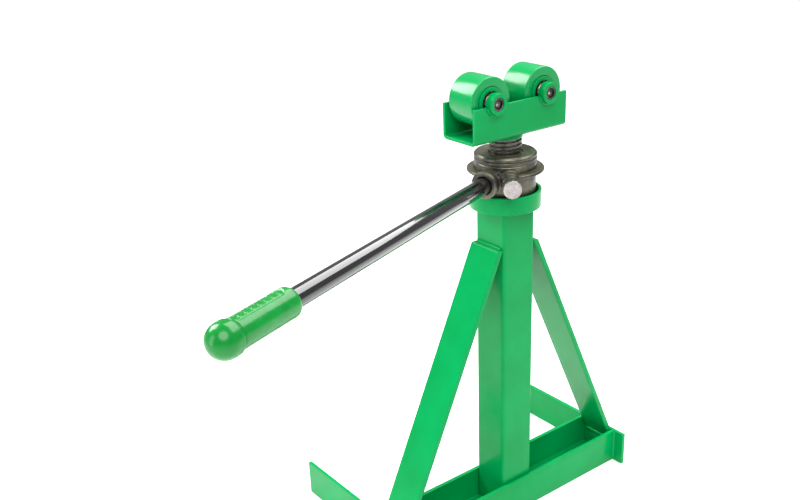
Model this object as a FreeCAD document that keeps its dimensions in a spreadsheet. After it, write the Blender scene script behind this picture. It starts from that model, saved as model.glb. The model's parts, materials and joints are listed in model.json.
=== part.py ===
import FreeCAD, Part
import math
import os
import Sketcher

# A ratcheting screw jack stand for cable reels. A square post stands on a channel base with two
# flat crossbars on edge and two flat braces. A nut on a ball thrust bearing is turned by a ratchet
# handle and lifts a keyed screw, whose yoke carries two rollers for the reel's spindle.
# Millimetres, +Z up. The origin is on the post's axis, on the floor. +X runs along the base
# channel and +Y towards the crossbars' long ends.

os.makedirs("parts", exist_ok=True)
doc = FreeCAD.newDocument("ReelStand")

SIZES = (
    # lifting screw and its anti-turn stop
    ("screw_radius", 24.4), ("thread_pitch", 6.35), ("thread_depth", 3.3), ("thread_flank", 14.5),
    ("stroke_turns", 60), ("stop_gap", 5.0), ("stop_thick", 20.0), ("stop_clearance", 0.6),
    ("stop_corner", 6.0), ("stop_bolt_radius", 8.0), ("stop_bolt_corner", 12.8),
    ("stop_bolt_head", 8.0), ("stop_bolt_shank", 30.0),
    # base and post
    ("screw_room", 1.0), ("post_wall", 6.35), ("post_corner", 5.0), ("post_top", 537.4),
    ("base_height", 61.0), ("channel_wall", 7.1), ("channel_gap", 0.85), ("channel_half", 233.4),
    ("crossbar_thick", 6.35), ("crossbar_short", 60.4), ("crossbar_long", 240.0),
    ("brace_inset", 0.75), ("brace_step", 9.8), ("brace_drop", 58.4),
    ("weld_leg", 5.0),
    # nut and ratchet wheel, heights from the collar's rim
    ("nut_clearance", 0.4), ("nut_wall", 6.2), ("head_base", 34.2), ("head_lap", 5.7),
    ("head_top", 50.0), ("head_room", 1.0), ("spigot_wall", 8.2), ("spigot_height", 4.0),
    ("cap_rise", 7.5), ("cap_bevel", 2.5), ("cap_clearance", 1.2), ("wheel_base", 12.0),
    ("wheel_wall", 4.5), ("tooth_depth", 5.5), ("tooth_count", 10), ("gap_width", 16.0),
    ("key_width", 6.0), ("key_depth", 2.5), ("ring_groove", 1.5), ("ring_cover", 1.8),
    ("ring_thick", 2.5), ("ring_base", -5.5),
    # ratchet housing and handle, reaches from the housing's skirt or the handle's inner end
    ("lip_clearance", 0.7), ("wheel_clearance", 0.3), ("housing_wall", 4.3),
    ("housing_base", -2.0), ("housing_top", 33.9), ("lip_top", 6.0), ("flange_rim", 10.1),
    ("flange_thick", 5.5), ("handle_azimuth", 200.6), ("handle_height", 22.6),
    ("handle_radius", 12.6), ("handle_wall", 2.6), ("handle_fit", 0.05), ("socket_radius", 20.5),
    ("socket_floor", 0.5), ("socket_depth", 21.5), ("handle_reach", 644.0),
    ("grip_length", 128.5), ("grip_radius", 18.9), ("grip_ball", 21.0),
    ("grip_ball_length", 32.0), ("grip_tip_wall", 14.0), ("lock_screw_radius", 4.0),
    ("lock_screw_depth", 11.5),
    # collar and thrust bearing
    ("collar_gap", 4.2), ("collar_height", 26.4), ("collar_wall", 4.8), ("plate_thick", 6.0),
    ("plate_clearance", 1.6), ("washer_clearance", 1.7), ("washer_rim", 9.0),
    ("washer_thick", 4.0), ("thrust_ball", 4.0), ("thrust_ball_count", 18), ("ball_fit", 0.05),
    # pawl, reaches from the housing's skirt
    ("pawl_azimuth", 234.0), ("pawl_height", 25.0), ("barrel_radius", 13.5), ("lug_rise", 5.0),
    ("lug_reach", 12.4), ("web_width", 15.0), ("web_reach", 10.4), ("web_base", 6.0),
    ("web_top", 40.0), ("barrel_reach", 24.4), ("barrel_cap", 4.0), ("cap_plug", 4.0),
    ("tip_radius", 6.0), ("tip_clearance", 0.7), ("tip_bevel", 30.0), ("piston_radius", 9.0),
    ("piston_reach", 1.3), ("piston_length", 6.0), ("rod_radius", 5.0), ("slide_fit", 0.05),
    ("washer_height", 1.5), ("spring_wire", 0.8), ("spring_turns", 5), ("spring_gap", 0.1),
    ("knob_radius", 13.2), ("knob_gap", 8.0), ("knob_lift", 1.0), ("knob_neck", 9.0),
    ("knob_length", 12.0), ("rod_in_knob", 6.0), ("pin_radius", 1.5), ("pin_inset", 1.0),
    # yoke and rollers
    ("hub_rim", 1.1), ("hub_height", 7.0), ("yoke_base", 85.3), ("yoke_length", 179.0),
    ("yoke_height", 52.1), ("yoke_wall", 4.8), ("yoke_bend", 7.0), ("axle_height", 140.6),
    ("axle_half", 50.6), ("axle_radius", 9.5), ("axle_fit", 0.05), ("axle_recess", 3.5),
    ("axle_dimple", 3.2), ("boss_wall", 6.0), ("boss_proud", 7.6), ("snap_thick", 1.1),
    ("snap_depth", 0.8), ("snap_width", 1.8), ("roller_radius", 36.1), ("roller_length", 50.0),
    ("roller_edge", 1.5), ("roller_room", 4.9), ("roller_shoulder", 3.0), ("cup_depth", 12.0),
    ("cup_proud", 1.0), ("cup_wall", 3.8), ("cup_lip", 5.8), ("cup_lip_thick", 1.5),
    ("race_wall", 4.3), ("race_room", 8.2), ("race_proud", 2.0), ("bearing_ball", 3.0),
    ("bearing_ball_count", 10), ("ball_inset", 6.0), ("spacer_wall", 3.0),
    # what cuts and fits leave
    ("cut_over", 1.0), ("face_gap", 0.1),
)

sheet = doc.addObject("Spreadsheet::Sheet", "Sizes")
for row, (alias, value) in enumerate(SIZES, start=1):
    sheet.set("A%d" % row, alias)
    sheet.set("B%d" % row, str(value))
    sheet.setAlias("B%d" % row, alias)
doc.recompute()

# places that several pieces share, worked out from the sheet. The radii grow outwards from the
# screw: what runs on it, round it and over it takes its size from the piece inside.
POST_INSIDE = "(Sizes.screw_radius + Sizes.screw_room)"
HALF_POST = "(%s + Sizes.post_wall)" % POST_INSIDE
BRACE_WIDTH = "(2 * %s - 2 * Sizes.brace_inset)" % HALF_POST
BRACE_TOP = "(Sizes.post_top - Sizes.brace_drop)"
CHANNEL_INSIDE = "(%s + Sizes.channel_gap)" % HALF_POST
CHANNEL_OUTSIDE = "(%s + Sizes.channel_wall)" % CHANNEL_INSIDE
RIM = "(Sizes.post_top + Sizes.collar_height)"
PLATE_TOP = "(Sizes.post_top + Sizes.plate_thick)"
PLATE_HOLE = "(Sizes.screw_radius + Sizes.plate_clearance)"
BALL_CENTRE = "(%s + Sizes.washer_thick + Sizes.thrust_ball / 2)" % PLATE_TOP
UPPER_WASHER = "(%s + Sizes.washer_thick + Sizes.thrust_ball)" % PLATE_TOP
NUT_BASE = "(%s + Sizes.washer_thick)" % UPPER_WASHER
NUT_BORE = "(Sizes.screw_radius + Sizes.nut_clearance)"
NUT_BODY = "(%s + Sizes.nut_wall)" % NUT_BORE
RING_INNER = "(%s - Sizes.ring_groove)" % NUT_BODY
WHEEL_ROOT = "(%s + Sizes.wheel_wall)" % NUT_BODY
WHEEL_RADIUS = "(%s + Sizes.tooth_depth)" % WHEEL_ROOT
LIP_RADIUS = "(%s + Sizes.lip_clearance)" % WHEEL_ROOT
HOUSING_BORE = "(%s + Sizes.wheel_clearance)" % WHEEL_RADIUS
HOUSING_RADIUS = "(%s + Sizes.housing_wall)" % HOUSING_BORE
HEAD_RADIUS = "(%s + Sizes.head_lap)" % HOUSING_BORE
HEAD_ROOM = "(%s + Sizes.head_room)" % HEAD_RADIUS
SPIGOT_RADIUS = "(%s + Sizes.spigot_wall)" % NUT_BORE
COLLAR_INSIDE = "(%s + Sizes.collar_gap)" % HOUSING_RADIUS
WASHER_INNER = "(%s + Sizes.washer_clearance)" % NUT_BORE
WASHER_OUTER = "(%s + Sizes.washer_rim)" % NUT_BODY
BALL_CIRCLE = "((%s + %s) / 2)" % (WASHER_INNER, WASHER_OUTER)
SOCKET_START = "(%s + Sizes.socket_floor)" % HEAD_ROOM
SOCKET_REACH = "(%s + Sizes.socket_depth)" % SOCKET_START
BARREL_REACH = "(%s + Sizes.barrel_reach)" % HOUSING_RADIUS
PISTON_START = "(%s + Sizes.piston_reach)" % HOUSING_RADIUS
GROOVE = "(Sizes.thrust_ball + Sizes.ball_fit)"
STROKE = "(Sizes.stroke_turns * Sizes.thread_pitch)"
STOP_TOP = "(Sizes.post_top - Sizes.stop_gap - %s)" % STROKE
STOP_BASE = "(%s - Sizes.stop_thick)" % STOP_TOP
HUB_BASE = "(%s + Sizes.yoke_base - Sizes.hub_height)" % RIM
YOKE_BASE = "(%s + Sizes.yoke_base)" % RIM
AXLE_Z = "(%s + Sizes.axle_height)" % RIM
YOKE_INSIDE = "(Sizes.roller_length / 2 + Sizes.roller_room)"
HALF_YOKE = "(%s + Sizes.yoke_wall)" % YOKE_INSIDE
AXLE_BORE = "(Sizes.axle_radius + Sizes.axle_fit)"
BOSS_RADIUS = "(Sizes.axle_radius + Sizes.boss_wall)"
BOSS_FACE = "(%s + Sizes.boss_proud)" % HALF_YOKE
SNAP_PLACE = "(%s - Sizes.axle_recess + Sizes.snap_thick)" % BOSS_FACE
RACE_RADIUS = "(Sizes.axle_radius + Sizes.race_wall)"
CUP_RADIUS = "(%s + Sizes.race_room)" % RACE_RADIUS
CUP_BORE = "(%s - Sizes.cup_wall)" % CUP_RADIUS
BEARING_CIRCLE = "((%s + %s) / 2)" % (CUP_BORE, RACE_RADIUS)
PISTON_END = "(%s + Sizes.piston_length)" % PISTON_START
CAP_FACE = "(%s + Sizes.barrel_cap)" % BARREL_REACH
KNOB_BACK = "(%s + Sizes.knob_gap)" % BARREL_REACH
PLUG_START = "(%s - Sizes.cap_plug)" % BARREL_REACH

sub_parts = []


def size(alias):
    """A driving dimension as a number."""
    return float(sheet.get(alias))


def worth(expression):
    """What an expression on the sheet comes to, as a number."""
    return float(sheet.evalExpression(expression.replace("Sizes.", "")))


def sub_part(shape_object, label):
    """Names a finished piece, which is written to its own file."""
    shape_object.Label = label
    sub_parts.append(shape_object)
    return shape_object


def bind(shape_object, **expressions):
    """Ties properties to the sheet. An underscore in a key stands for a dot."""
    for key, expression in expressions.items():
        shape_object.setExpression(key.replace("_", "."), expression)
    return shape_object


def new_body(label):
    return sub_part(doc.addObject("PartDesign::Body", label), label)


def outline(body, role, corners):
    """A closed outline on one of the body's planes. Each corner is two expressions."""
    sketch = body.newObject("Sketcher::SketchObject", body.Label + "_outline")
    plane = next(f for f in body.Origin.OriginFeatures if f.Role == role)
    sketch.AttachmentSupport = [(plane, "")]
    sketch.MapMode = "FlatFace"
    count = len(corners)
    turn = 2 * math.pi / count
    spots = [FreeCAD.Vector(math.cos(turn * k), math.sin(turn * k), 0) for k in range(count)]
    for k in range(count):
        sketch.addGeometry(Part.LineSegment(spots[k], spots[(k + 1) % count]), False)
    for k in range(count):
        sketch.addConstraint(Sketcher.Constraint("Coincident", k, 2, (k + 1) % count, 1))
    for k, corner in enumerate(corners):
        starts = (("DistanceX", spots[k].x), ("DistanceY", spots[k].y))
        for (kind, start), expression in zip(starts, corner):
            number = sketch.addConstraint(Sketcher.Constraint(kind, k, 1, start))
            sketch.setExpression("Constraints[%d]" % number, expression)
    return sketch


def padded(label, role, corners, length):
    """A body made by padding an outline the same way on both sides of its plane."""
    body = new_body(label)
    pad = body.newObject("PartDesign::Pad", label + "_pad")
    pad.Profile = outline(body, role, corners)
    pad.SideType = "Symmetric"
    pad.setExpression("Length", length)
    return body


def turned(label, corners, height="0", azimuth=None):
    """A body of revolution. Corners are (radius, along the axis). With an azimuth its axis is
    level and points away from the post; otherwise it is upright."""
    body = new_body(label)
    turning = body.newObject("PartDesign::Revolution", label + "_turning")
    sketch = outline(body, "XZ_Plane", corners)
    turning.Profile = sketch
    turning.ReferenceAxis = (sketch, ["V_Axis"])
    turning.Angle = 360.0
    if azimuth is not None:
        body.Placement = FreeCAD.Placement(
            FreeCAD.Vector(0, 0, 0), FreeCAD.Rotation(size(azimuth), 90, 0))
    return bind(body, Placement_Base_z=height)


def ring_corners(inner, outer, bottom, top):
    return ((inner, bottom), (outer, bottom), (outer, top), (inner, top))


def upright_cylinder(name, radius, bottom, length):
    cylinder = doc.addObject("Part::Cylinder", name)
    return bind(cylinder, Radius=radius, Height=length, Placement_Base_z=bottom)


def level_cylinder(name, radius, start, length, azimuth, height):
    """A cylinder whose axis is level and points away from the post."""
    cylinder = doc.addObject("Part::Cylinder", name)
    cylinder.Placement.Rotation = FreeCAD.Rotation(size(azimuth), 90, 0)
    along = "%s * %%s(Sizes.%s * 1 deg)" % (start, azimuth)
    return bind(cylinder, Radius=radius, Height=length, Placement_Base_z=height,
                Placement_Base_x=along % "cos", Placement_Base_y=along % "sin")


def cross_cylinder(name, radius, x, z, length):
    """A cylinder across the yoke, centred on it."""
    cylinder = doc.addObject("Part::Cylinder", name)
    cylinder.Placement.Rotation = FreeCAD.Rotation(0, 0, -90)
    return bind(cylinder, Radius=radius, Height=length, Placement_Base_x=x,
                Placement_Base_y="-(%s) / 2" % length, Placement_Base_z=z)


def block(name, length, width, height, x, y, z):
    box = doc.addObject("Part::Box", name)
    return bind(box, Length=length, Width=width, Height=height,
                Placement_Base_x=x, Placement_Base_y=y, Placement_Base_z=z)


def fused(name, pieces):
    fusion = doc.addObject("Part::MultiFuse", name)
    fusion.Shapes = pieces
    return fusion


def cut(name, base, tools):
    result = doc.addObject("Part::Cut", name)
    result.Base = base
    result.Tool = tools[0] if len(tools) == 1 else fused(name + "_tools", tools)
    return result


def shaped(label, shape, **expressions):
    """A piece whose shape is worked out here, then placed from the sheet."""
    feature = doc.addObject("Part::Feature", label)
    feature.Shape = shape
    bind(feature, **expressions)
    return sub_part(feature, label)


def around(count):
    return [2 * math.pi * k / count for k in range(count)]


# ---------------------------------------------------------------- base

def base_channel():
    """A channel lying on its web, so that the post and braces stand between its flanges."""
    wall, top = "Sizes.channel_wall", "Sizes.base_height"
    corners = (
        ("-" + CHANNEL_OUTSIDE, "0"), (CHANNEL_OUTSIDE, "0"), (CHANNEL_OUTSIDE, top),
        (CHANNEL_INSIDE, top), (CHANNEL_INSIDE, wall), ("-" + CHANNEL_INSIDE, wall),
        ("-" + CHANNEL_INSIDE, top), ("-" + CHANNEL_OUTSIDE, top))
    padded("base_channel", "YZ_Plane", corners, "2 * Sizes.channel_half")


def crossbar(label, side):
    """A flat bar on edge across the channel's end."""
    inner = "%d * Sizes.channel_half" % side
    outer = "%d * (Sizes.channel_half + Sizes.crossbar_thick)" % side
    corners = ring_corners(inner, outer, "0", "Sizes.base_height")
    bar = padded(label, "XZ_Plane", corners, "Sizes.crossbar_long + Sizes.crossbar_short")
    bind(bar, Placement_Base_y="(Sizes.crossbar_long - Sizes.crossbar_short) / 2")


def post():
    """A square tube with rounded outer corners, standing on the channel's web."""
    width, corner = "2 * " + HALF_POST, "Sizes.post_corner"
    length = "Sizes.post_top - Sizes.channel_wall"
    straight = "(2 * %s - 2 * Sizes.post_corner)" % HALF_POST
    pieces = [
        block("post_x", width, straight, length, "-" + HALF_POST, "-%s / 2" % straight,
              "Sizes.channel_wall"),
        block("post_y", straight, width, length, "-%s / 2" % straight, "-" + HALF_POST,
              "Sizes.channel_wall")]
    for east in (-1, 1):
        for north in (-1, 1):
            rounding = upright_cylinder(
                "post_corner_%d_%d" % (east + 1, north + 1), corner, "Sizes.channel_wall", length)
            bind(rounding, Placement_Base_x="%d * %s / 2" % (east, straight),
                 Placement_Base_y="%d * %s / 2" % (north, straight))
            pieces.append(rounding)
    bore = block("post_bore", "2 * " + POST_INSIDE, "2 * " + POST_INSIDE,
                 length, "-" + POST_INSIDE, "-" + POST_INSIDE, "Sizes.channel_wall")
    sub_part(cut("post_tube", fused("post_outside", pieces), [bore]), "post")


def brace(label, side):
    """A flat bar leaning from the post's face to the crossbar's top inner edge, its top cut level
    and its lower end cut upright."""
    run = "(Sizes.channel_half - %s - Sizes.brace_step)" % HALF_POST
    rise = "(%s - Sizes.base_height)" % BRACE_TOP
    low = "(Sizes.base_height - Sizes.brace_step * %s / %s)" % (rise, run)
    corners = (
        ("%d * %s" % (side, HALF_POST), BRACE_TOP),
        ("%d * (%s + Sizes.brace_step)" % (side, HALF_POST), BRACE_TOP),
        ("%d * Sizes.channel_half" % side, "Sizes.base_height"),
        ("%d * Sizes.channel_half" % side, low))
    padded(label, "XZ_Plane", corners, BRACE_WIDTH)


def bead(corner, leg_a, leg_b, run):
    """A fillet weld: a triangle at a corner, drawn along a run."""
    points = [corner, corner + leg_a, corner + leg_b, corner]
    return Part.Face(Part.makePolygon(points)).extrude(run)


def base_welds():
    """Beads at the channel's ends, round the post's foot and under the braces."""
    vector, leg = FreeCAD.Vector, size("weld_leg")
    half, end = worth(HALF_POST), size("channel_half")
    flange = worth(CHANNEL_OUTSIDE)
    flat = half - size("post_corner")
    run = end - half - size("brace_step")
    rise = worth(BRACE_TOP) - size("base_height")
    low = size("base_height") - size("brace_step") * rise / run
    along = vector(-run, 0, rise).normalize() * leg
    width = worth(BRACE_WIDTH)
    beads = []
    for side in (-1, 1):
        for north in (-1, 1):
            beads.append(bead(
                vector(side * end, north * flange, 0), vector(-side * leg, 0, 0),
                vector(0, north * leg, 0), vector(0, 0, size("base_height"))))
        beads.append(bead(
            vector(side * half, -flat, size("channel_wall")), vector(side * leg, 0, 0),
            vector(0, 0, leg), vector(0, 2 * flat, 0)))
        beads.append(bead(
            vector(side * end, -width / 2, low), vector(0, 0, -leg),
            vector(side * along.x, 0, along.z), vector(0, width, 0)))
    shaped("base_welds", Part.makeCompound(beads))


def post_welds():
    """Beads on the braces' level tops and round the post under the collar's plate."""
    vector, leg = FreeCAD.Vector, size("weld_leg")
    half = worth(HALF_POST)
    flat = half - size("post_corner")
    top = size("post_top")
    beads = []
    for side in (-1, 1):
        beads.append(bead(
            vector(side * half, -flat, worth(BRACE_TOP)), vector(side * leg, 0, 0),
            vector(0, 0, leg), vector(0, 2 * flat, 0)))
        beads.append(bead(
            vector(side * half, -flat, top), vector(side * leg, 0, 0), vector(0, 0, -leg),
            vector(0, 2 * flat, 0)))
        beads.append(bead(
            vector(-flat, side * half, top), vector(0, side * leg, 0), vector(0, 0, -leg),
            vector(2 * flat, 0, 0)))
    shaped("post_welds", Part.makeCompound(beads))


# ---------------------------------------------------------------- collar and thrust bearing

def collar():
    outside = "%s + Sizes.collar_wall" % COLLAR_INSIDE
    turned("collar_ring", ring_corners(COLLAR_INSIDE, outside, "0", "Sizes.collar_height"),
           "Sizes.post_top")
    turned("collar_plate", ring_corners(PLATE_HOLE, COLLAR_INSIDE, "0", "Sizes.plate_thick"),
           "Sizes.post_top")


def thrust_washer(label, bottom):
    """A hardened washer with a ball groove in the face towards the balls."""
    blank = doc.addObject("Part::Cut", label + "_blank")
    blank.Base = upright_cylinder(label + "_disc", WASHER_OUTER, bottom, "Sizes.washer_thick")
    blank.Tool = upright_cylinder(label + "_hole", WASHER_INNER, bottom, "Sizes.washer_thick")
    groove = doc.addObject("Part::Torus", label + "_groove")
    bind(groove, Radius1=BALL_CIRCLE, Radius2=GROOVE, Placement_Base_z=BALL_CENTRE)
    sub_part(cut(label + "_grooved", blank, [groove]), label)


def ball_ring(radius, circle, count):
    spots = [FreeCAD.Vector(circle * math.cos(a), circle * math.sin(a), 0) for a in around(count)]
    return [Part.makeSphere(radius, spot) for spot in spots]


def thrust_bearing():
    thrust_washer("thrust_washer_lower", PLATE_TOP)
    thrust_washer("thrust_washer_upper", UPPER_WASHER)
    balls = ball_ring(size("thrust_ball"), worth(BALL_CIRCLE), int(size("thrust_ball_count")))
    shaped("thrust_balls", Part.makeCompound(balls), Placement_Base_z=BALL_CENTRE)


# ---------------------------------------------------------------- nut and ratchet wheel

def key_slot(name, inner, length, bottom):
    """The room for the key, on the +X side."""
    return block(name, length, "Sizes.key_width", "Sizes.head_base - Sizes.wheel_base",
                 inner, "-Sizes.key_width / 2", bottom)


def lift_nut():
    """The nut, with its head above the ratchet and a groove for the retaining ring near its foot.
    Its thread is left as a plain running bore."""
    foot = "(%s - %s)" % (NUT_BASE, RIM)
    ring_top = "(Sizes.ring_base + Sizes.ring_thick)"
    spigot_top = "(Sizes.head_top + Sizes.spigot_height)"
    nut = turned("lift_nut_turned", (
        (NUT_BORE, foot), (NUT_BODY, foot), (NUT_BODY, "Sizes.ring_base"),
        (RING_INNER, "Sizes.ring_base"), (RING_INNER, ring_top), (NUT_BODY, ring_top),
        (NUT_BODY, "Sizes.head_base"), (HEAD_RADIUS, "Sizes.head_base"),
        (HEAD_RADIUS, "Sizes.head_top"), (SPIGOT_RADIUS, "Sizes.head_top"),
        (SPIGOT_RADIUS, spigot_top),
        (NUT_BORE, spigot_top)), RIM)
    sub_parts.remove(nut)
    slot = key_slot("nut_keyway", NUT_BODY + " - Sizes.key_depth",
                    "Sizes.key_depth + Sizes.cut_over",
                    "%s + Sizes.wheel_base" % RIM)
    sub_part(cut("lift_nut_cut", nut, [slot]), "lift_nut")


def nut_cap():
    """A flat cover pressed on the nut's spigot, bevelled round its edge."""
    hole = "(Sizes.screw_radius + Sizes.cap_clearance)"
    seat = "(Sizes.head_top + Sizes.spigot_height)"
    top = "(Sizes.head_top + Sizes.cap_rise)"
    turned("nut_cap", (
        (SPIGOT_RADIUS, "Sizes.head_top"), (HEAD_RADIUS, "Sizes.head_top"),
        (HEAD_RADIUS, top + " - Sizes.cap_bevel"), (HEAD_RADIUS + " - Sizes.cap_bevel", top),
        (hole, top), (hole, seat), (SPIGOT_RADIUS, seat)), RIM)


def ratchet_wheel():
    """A ring keyed on the nut, with straight-sided gaps for the pawl."""
    blank = turned("ratchet_blank", ring_corners(
        NUT_BODY, WHEEL_RADIUS, "Sizes.wheel_base", "Sizes.head_base"), RIM)
    sub_parts.remove(blank)
    tools = [key_slot("wheel_keyway", NUT_BODY + " - Sizes.cut_over",
                      "Sizes.key_depth + Sizes.cut_over",
                      "%s + Sizes.wheel_base" % RIM)]
    count = int(size("tooth_count"))
    for k in range(count):
        angle = size("pawl_azimuth") + 360.0 * k / count
        gap = doc.addObject("Part::Box", "ratchet_gap_%d" % k)
        gap.Placement.Rotation = FreeCAD.Rotation(angle, 0, 0)
        turn = "(Sizes.pawl_azimuth + 360 * %d / Sizes.tooth_count) * 1 deg" % k
        reach = WHEEL_ROOT + " * %s(" + turn + ")"
        aside = "Sizes.gap_width / 2 * %s(" + turn + ")"
        bind(gap, Length="Sizes.tooth_depth + Sizes.cut_over", Width="Sizes.gap_width",
             Height="Sizes.head_base - Sizes.wheel_base",
             Placement_Base_x=reach % "cos" + " + " + aside % "sin",
             Placement_Base_y=reach % "sin" + " - " + aside % "cos",
             Placement_Base_z="%s + Sizes.wheel_base" % RIM)
        tools.append(gap)
    sub_part(cut("ratchet_wheel_cut", blank, tools), "ratchet_wheel")


def nut_fittings():
    """The wheel's key and spacer, and the ring that holds the housing up."""
    inner = NUT_BODY + " - Sizes.key_depth"
    key = key_slot("wheel_key", inner, "2 * Sizes.key_depth", "%s + Sizes.wheel_base" % RIM)
    sub_part(key, "wheel_key")
    ring_top = "(Sizes.ring_base + Sizes.ring_thick)"
    turned("wheel_spacer", ring_corners(NUT_BODY, WHEEL_ROOT, ring_top, "Sizes.wheel_base"), RIM)
    turned("retaining_ring", ring_corners(
        RING_INNER, LIP_RADIUS + " + Sizes.ring_cover", "Sizes.ring_base", ring_top), RIM)


# ---------------------------------------------------------------- ratchet housing and handle

def ratchet_housing():
    """A casting that swings round the nut: a flange, the handle's socket and the pawl's barrel."""
    base = "%s + Sizes.housing_base" % RIM
    tall = "Sizes.housing_top - Sizes.housing_base"
    handle_z = "%s + Sizes.handle_height" % RIM
    pawl_z = "%s + Sizes.pawl_height" % RIM
    outside = fused("housing_outside", [
        upright_cylinder("housing_skirt", HOUSING_RADIUS, base, tall),
        upright_cylinder("housing_flange", HEAD_ROOM + " + Sizes.flange_rim",
                         "%s + Sizes.housing_top - Sizes.flange_thick" % RIM,
                         "Sizes.flange_thick"),
        level_cylinder("housing_socket", "Sizes.socket_radius", "0", SOCKET_REACH,
                       "handle_azimuth", handle_z),
        level_cylinder("housing_barrel", "Sizes.barrel_radius", "0", BARREL_REACH,
                       "pawl_azimuth", pawl_z),
        level_cylinder("housing_lug", "Sizes.barrel_radius", "0",
                       HOUSING_RADIUS + " + Sizes.lug_reach", "pawl_azimuth",
                       pawl_z + " + Sizes.lug_rise"),
        housing_web()])
    openings = [
        upright_cylinder("housing_lip_bore", LIP_RADIUS, base, tall),
        upright_cylinder("housing_wheel_bore", HOUSING_BORE, "%s + Sizes.lip_top" % RIM, tall),
        upright_cylinder("housing_head_room", HEAD_ROOM, "%s + Sizes.housing_top" % RIM,
                         "Sizes.head_top - Sizes.housing_top"),
        level_cylinder("housing_handle_bore", "Sizes.handle_radius + Sizes.handle_fit",
                       SOCKET_START, SOCKET_REACH, "handle_azimuth", handle_z),
        level_cylinder("housing_tip_bore", "Sizes.tip_radius + Sizes.slide_fit", "0",
                       BARREL_REACH, "pawl_azimuth", pawl_z),
        level_cylinder("housing_piston_bore", "Sizes.piston_radius + Sizes.slide_fit",
                       "(%s - Sizes.face_gap)" % PISTON_START, BARREL_REACH, "pawl_azimuth",
                       pawl_z),
        lock_screw_shape("housing_lock_hole")]
    sub_part(cut("housing_cut", outside, openings), "ratchet_housing")


def housing_web():
    """The upright web between the socket and the barrel, pointing away from the post."""
    middle = "((Sizes.handle_azimuth + Sizes.pawl_azimuth) / 2 * 1 deg)"
    web = doc.addObject("Part::Box", "housing_web")
    azimuth = (size("handle_azimuth") + size("pawl_azimuth")) / 2
    web.Placement.Rotation = FreeCAD.Rotation(azimuth, 0, 0)
    return bind(web, Length=HOUSING_RADIUS + " + Sizes.web_reach", Width="Sizes.web_width",
                Height="Sizes.web_top - Sizes.web_base",
                Placement_Base_x="Sizes.web_width / 2 * sin" + middle,
                Placement_Base_y="-Sizes.web_width / 2 * cos" + middle,
                Placement_Base_z="%s + Sizes.web_base" % RIM)


def lock_screw_shape(name):
    """The grub screw's room, through the underside of the socket to the handle."""
    reach = "(" + SOCKET_START + " + Sizes.lock_screw_depth) * %s(Sizes.handle_azimuth * 1 deg)"
    depth = "(Sizes.socket_radius - Sizes.handle_radius - Sizes.handle_fit)"
    screw = upright_cylinder(
        name, "Sizes.lock_screw_radius",
        "%s + Sizes.handle_height - Sizes.socket_radius" % RIM, depth)
    return bind(screw, Placement_Base_x=reach % "cos", Placement_Base_y=reach % "sin")


def handle():
    """A tube in the socket, its grub screw, and a grip with a round knob end."""
    height = "%s + Sizes.handle_height" % RIM
    inside = "(Sizes.handle_radius - Sizes.handle_wall)"
    tube_end = "(Sizes.handle_reach - Sizes.grip_tip_wall)"
    tube_start = "(%s + Sizes.face_gap)" % SOCKET_START
    turned("handle_bar", ring_corners(inside, "Sizes.handle_radius", tube_start, tube_end),
           height, "handle_azimuth")
    grip_start = "(Sizes.handle_reach - Sizes.grip_length)"
    body = level_cylinder("grip_body", "Sizes.grip_radius", grip_start,
                          "Sizes.grip_length - Sizes.grip_ball", "handle_azimuth", height)
    knob = level_cylinder("grip_knob", "Sizes.grip_ball",
                          "(Sizes.handle_reach - Sizes.grip_ball_length)",
                          "Sizes.grip_ball_length - Sizes.grip_ball", "handle_azimuth", height)
    end = doc.addObject("Part::Sphere", "grip_end")
    along = "(Sizes.handle_reach - Sizes.grip_ball) * %s(Sizes.handle_azimuth * 1 deg)"
    bind(end, Radius="Sizes.grip_ball", Placement_Base_x=along % "cos",
         Placement_Base_y=along % "sin", Placement_Base_z=height)
    bore = level_cylinder("grip_bore", "Sizes.handle_radius", grip_start,
                          "Sizes.grip_length - Sizes.grip_tip_wall", "handle_azimuth", height)
    sub_part(cut("grip_cut", fused("grip_outside", [body, knob, end]), [bore]), "handle_grip")
    sub_part(lock_screw_shape("lock_screw"), "handle_lock_screw")


# ---------------------------------------------------------------- pawl

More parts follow.
